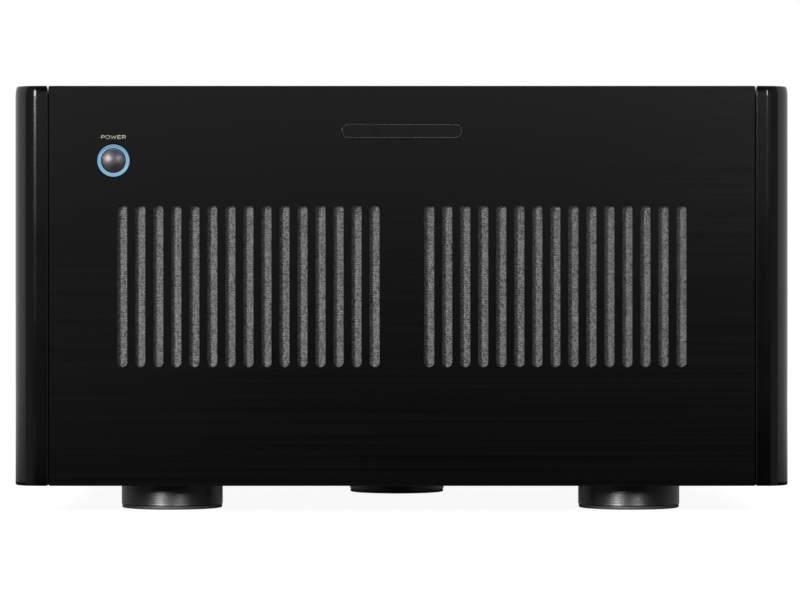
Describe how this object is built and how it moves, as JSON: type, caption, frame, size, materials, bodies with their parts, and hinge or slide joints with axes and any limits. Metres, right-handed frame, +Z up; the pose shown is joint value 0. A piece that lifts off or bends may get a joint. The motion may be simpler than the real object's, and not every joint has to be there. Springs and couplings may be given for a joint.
{
  "type": "power amplifier",
  "caption": "Rack-width audio power amplifier: black brushed front with slotted air grilles, lit power button, gloss side columns, round feet and rear speaker terminals.",
  "frame": {"origin": "centre of the rectangle the amplifier fills, on the surface it stands on", "axes": "+Z up; -Y is the front, with the power button; +Y is the rear, with the connectors; +X is to the right of someone facing the front"},
  "size_m": [0.431, 0.454, 0.237],
  "materials": {
    "brushed_black_aluminium": "anodised black, brushed along its length",
    "gloss_black_metal": "polished and anodised gloss black",
    "grey_mesh": "fine perforated steel, satin grey",
    "light_ring": "clear plastic lit pale blue",
    "dark_chrome": "dark polished chrome",
    "circuit_board": "green solder mask",
    "black_badge": "gloss black with a polished edge",
    "plated_steel": "zinc plated, matt",
    "black_paint": "fine-textured satin black powder coat",
    "foot_plastic": "semi-gloss black with fine turned lines",
    "black_aluminium": "extruded, matt black anodised",
    "transformer_winding": "black wrap over copper windings and a steel core",
    "capacitor_sleeve": "dark blue-black heat-shrunk sleeve",
    "black_plastic": "moulded, fine grain",
    "white_plastic": "moulded, matt",
    "gold_metal": "gold plated",
    "red_plastic": "translucent red, moulded"
  },
  "bodies": {
    "case": {"front_panel": "brushed_black_aluminium", "left_column": "gloss_black_metal", "right_column": "gloss_black_metal", "left_grille": "grey_mesh", "right_grille": "grey_mesh", "power_light_ring": "light_ring", "power_switch": "circuit_board", "nameplate": "black_badge", "chassis_base": "plated_steel", "left_side_panel": "black_paint", "right_side_panel": "black_paint", "top_cover": "black_paint", "rear_panel": "black_paint", "inner_front_plate": "black_paint", "front_left_foot": "foot_plastic", "front_right_foot": "foot_plastic", "middle_foot": "foot_plastic", "rear_left_foot": "foot_plastic", "rear_right_foot": "foot_plastic", "left_heatsink": "black_aluminium", "right_heatsink": "black_aluminium", "front_transformer": "transformer_winding", "rear_transformer": "transformer_winding", "left_capacitor_bank": "capacitor_sleeve", "right_capacitor_bank": "capacitor_sleeve", "amplifier_board_1": "circuit_board", "amplifier_board_2": "circuit_board", "amplifier_board_3": "circuit_board", "amplifier_board_4": "circuit_board", "amplifier_board_5": "circuit_board", "mains_inlet": "black_plastic", "input_board": "black_plastic", "control_board": "black_plastic", "speaker_terminal_board": "gold_metal"},
    "power_button": {"power_button": "dark_chrome"},
    "input_selector_1": {"input_selector_1": "white_plastic"},
    "input_selector_2": {"input_selector_2": "white_plastic"},
    "input_selector_3": {"input_selector_3": "white_plastic"},
    "input_selector_4": {"input_selector_4": "white_plastic"},
    "input_selector_5": {"input_selector_5": "white_plastic"},
    "clamp_washer_1": {"clamp_washer_1": "gold_metal"},
    "clamp_washer_2": {"clamp_washer_2": "gold_metal"},
    "clamp_washer_3": {"clamp_washer_3": "gold_metal"},
    "clamp_washer_4": {"clamp_washer_4": "gold_metal"},
    "clamp_washer_5": {"clamp_washer_5": "gold_metal"},
    "clamp_washer_6": {"clamp_washer_6": "gold_metal"},
    "clamp_washer_7": {"clamp_washer_7": "gold_metal"},
    "clamp_washer_8": {"clamp_washer_8": "gold_metal"},
    "clamp_washer_9": {"clamp_washer_9": "gold_metal"},
    "clamp_washer_10": {"clamp_washer_10": "gold_metal"},
    "terminal_knob_1": {"terminal_knob_1": "black_plastic"},
    "terminal_knob_2": {"terminal_knob_2": "red_plastic"},
    "terminal_knob_3": {"terminal_knob_3": "black_plastic"},
    "terminal_knob_4": {"terminal_knob_4": "red_plastic"},
    "terminal_knob_5": {"terminal_knob_5": "black_plastic"},
    "terminal_knob_6": {"terminal_knob_6": "red_plastic"},
    "terminal_knob_7": {"terminal_knob_7": "black_plastic"},
    "terminal_knob_8": {"terminal_knob_8": "red_plastic"},
    "terminal_knob_9": {"terminal_knob_9": "black_plastic"},
    "terminal_knob_10": {"terminal_knob_10": "red_plastic"}
  },
  "joints": [
    {"name": "power_push", "type": "slide", "parent": "case", "child": "power_button", "axis": [0, 1, 0], "range_m": [0, 0.002], "stiffness_N_per_m": 500},
    {"name": "input_select_1", "type": "slide", "parent": "case", "child": "input_selector_1", "axis": [1, 0, 0], "range_m": [0, 0.005]},
    {"name": "input_select_2", "type": "slide", "parent": "case", "child": "input_selector_2", "axis": [1, 0, 0], "range_m": [0, 0.005]},
    {"name": "input_select_3", "type": "slide", "parent": "case", "child": "input_selector_3", "axis": [1, 0, 0], "range_m": [0, 0.005]},
    {"name": "input_select_4", "type": "slide", "parent": "case", "child": "input_selector_4", "axis": [1, 0, 0], "range_m": [0, 0.005]},
    {"name": "input_select_5", "type": "slide", "parent": "case", "child": "input_selector_5", "axis": [1, 0, 0], "range_m": [0, 0.005]},
    {"name": "clamp_travel_1", "type": "slide", "parent": "case", "child": "clamp_washer_1", "axis": [0, 1, 0], "range_m": [0, 0.004]},
    {"name": "knob_turn_1", "type": "hinge", "parent": "clamp_washer_1", "child": "terminal_knob_1", "pos_m": [-0.163, 0.2148, 0.098], "axis": [0, 1, 0], "range_deg": [0, 1440]},
    {"name": "clamp_travel_2", "type": "slide", "parent": "case", "child": "clamp_washer_2", "axis": [0, 1, 0], "range_m": [0, 0.004]},
    {"name": "knob_turn_2", "type": "hinge", "parent": "clamp_washer_2", "child": "terminal_knob_2", "pos_m": [-0.141, 0.2148, 0.098], "axis": [0, 1, 0], "range_deg": [0, 1440]},
    {"name": "clamp_travel_3", "type": "slide", "parent": "case", "child": "clamp_washer_3", "axis": [0, 1, 0], "range_m": [0, 0.004]},
    {"name": "knob_turn_3", "type": "hinge", "parent": "clamp_washer_3", "child": "terminal_knob_3", "pos_m": [-0.087, 0.2148, 0.098], "axis": [0, 1, 0], "range_deg": [0, 1440]},
    {"name": "clamp_travel_4", "type": "slide", "parent": "case", "child": "clamp_washer_4", "axis": [0, 1, 0], "range_m": [0, 0.004]},
    {"name": "knob_turn_4", "type": "hinge", "parent": "clamp_washer_4", "child": "terminal_knob_4", "pos_m": [-0.065, 0.2148, 0.098], "axis": [0, 1, 0], "range_deg": [0, 1440]},
    {"name": "clamp_travel_5", "type": "slide", "parent": "case", "child": "clamp_washer_5", "axis": [0, 1, 0], "range_m": [0, 0.004]},
    {"name": "knob_turn_5", "type": "hinge", "parent": "clamp_washer_5", "child": "terminal_knob_5", "pos_m": [-0.011, 0.2148, 0.098], "axis": [0, 1, 0], "range_deg": [0, 1440]},
    {"name": "clamp_travel_6", "type": "slide", "parent": "case", "child": "clamp_washer_6", "axis": [0, 1, 0], "range_m": [0, 0.004]},
    {"name": "knob_turn_6", "type": "hinge", "parent": "clamp_washer_6", "child": "terminal_knob_6", "pos_m": [0.011, 0.2148, 0.098], "axis": [0, 1, 0], "range_deg": [0, 1440]},
    {"name": "clamp_travel_7", "type": "slide", "parent": "case", "child": "clamp_washer_7", "axis": [0, 1, 0], "range_m": [0, 0.004]},
    {"name": "knob_turn_7", "type": "hinge", "parent": "clamp_washer_7", "child": "terminal_knob_7", "pos_m": [0.065, 0.2148, 0.098], "axis": [0, 1, 0], "range_deg": [0, 1440]},
    {"name": "clamp_travel_8", "type": "slide", "parent": "case", "child": "clamp_washer_8", "axis": [0, 1, 0], "range_m": [0, 0.004]},
    {"name": "knob_turn_8", "type": "hinge", "parent": "clamp_washer_8", "child": "terminal_knob_8", "pos_m": [0.087, 0.2148, 0.098], "axis": [0, 1, 0], "range_deg": [0, 1440]},
    {"name": "clamp_travel_9", "type": "slide", "parent": "case", "child": "clamp_washer_9", "axis": [0, 1, 0], "range_m": [0, 0.004]},
    {"name": "knob_turn_9", "type": "hinge", "parent": "clamp_washer_9", "child": "terminal_knob_9", "pos_m": [0.141, 0.2148, 0.098], "axis": [0, 1, 0], "range_deg": [0, 1440]},
    {"name": "clamp_travel_10", "type": "slide", "parent": "case", "child": "clamp_washer_10", "axis": [0, 1, 0], "range_m": [0, 0.004]},
    {"name": "knob_turn_10", "type": "hinge", "parent": "clamp_washer_10", "child": "terminal_knob_10", "pos_m": [0.163, 0.2148, 0.098], "axis": [0, 1, 0], "range_deg": [0, 1440]}
  ],
  "couplings": [
    {"joint": "clamp_travel_1", "follows": "knob_turn_1", "m_per_rad": 0.00015915},
    {"joint": "clamp_travel_2", "follows": "knob_turn_2", "m_per_rad": 0.00015915},
    {"joint": "clamp_travel_3", "follows": "knob_turn_3", "m_per_rad": 0.00015915},
    {"joint": "clamp_travel_4", "follows": "knob_turn_4", "m_per_rad": 0.00015915},
    {"joint": "clamp_travel_5", "follows": "knob_turn_5", "m_per_rad": 0.00015915},
    {"joint": "clamp_travel_6", "follows": "knob_turn_6", "m_per_rad": 0.00015915},
    {"joint": "clamp_travel_7", "follows": "knob_turn_7", "m_per_rad": 0.00015915},
    {"joint": "clamp_travel_8", "follows": "knob_turn_8", "m_per_rad": 0.00015915},
    {"joint": "clamp_travel_9", "follows": "knob_turn_9", "m_per_rad": 0.00015915},
    {"joint": "clamp_travel_10", "follows": "knob_turn_10", "m_per_rad": 0.00015915}
  ]
}
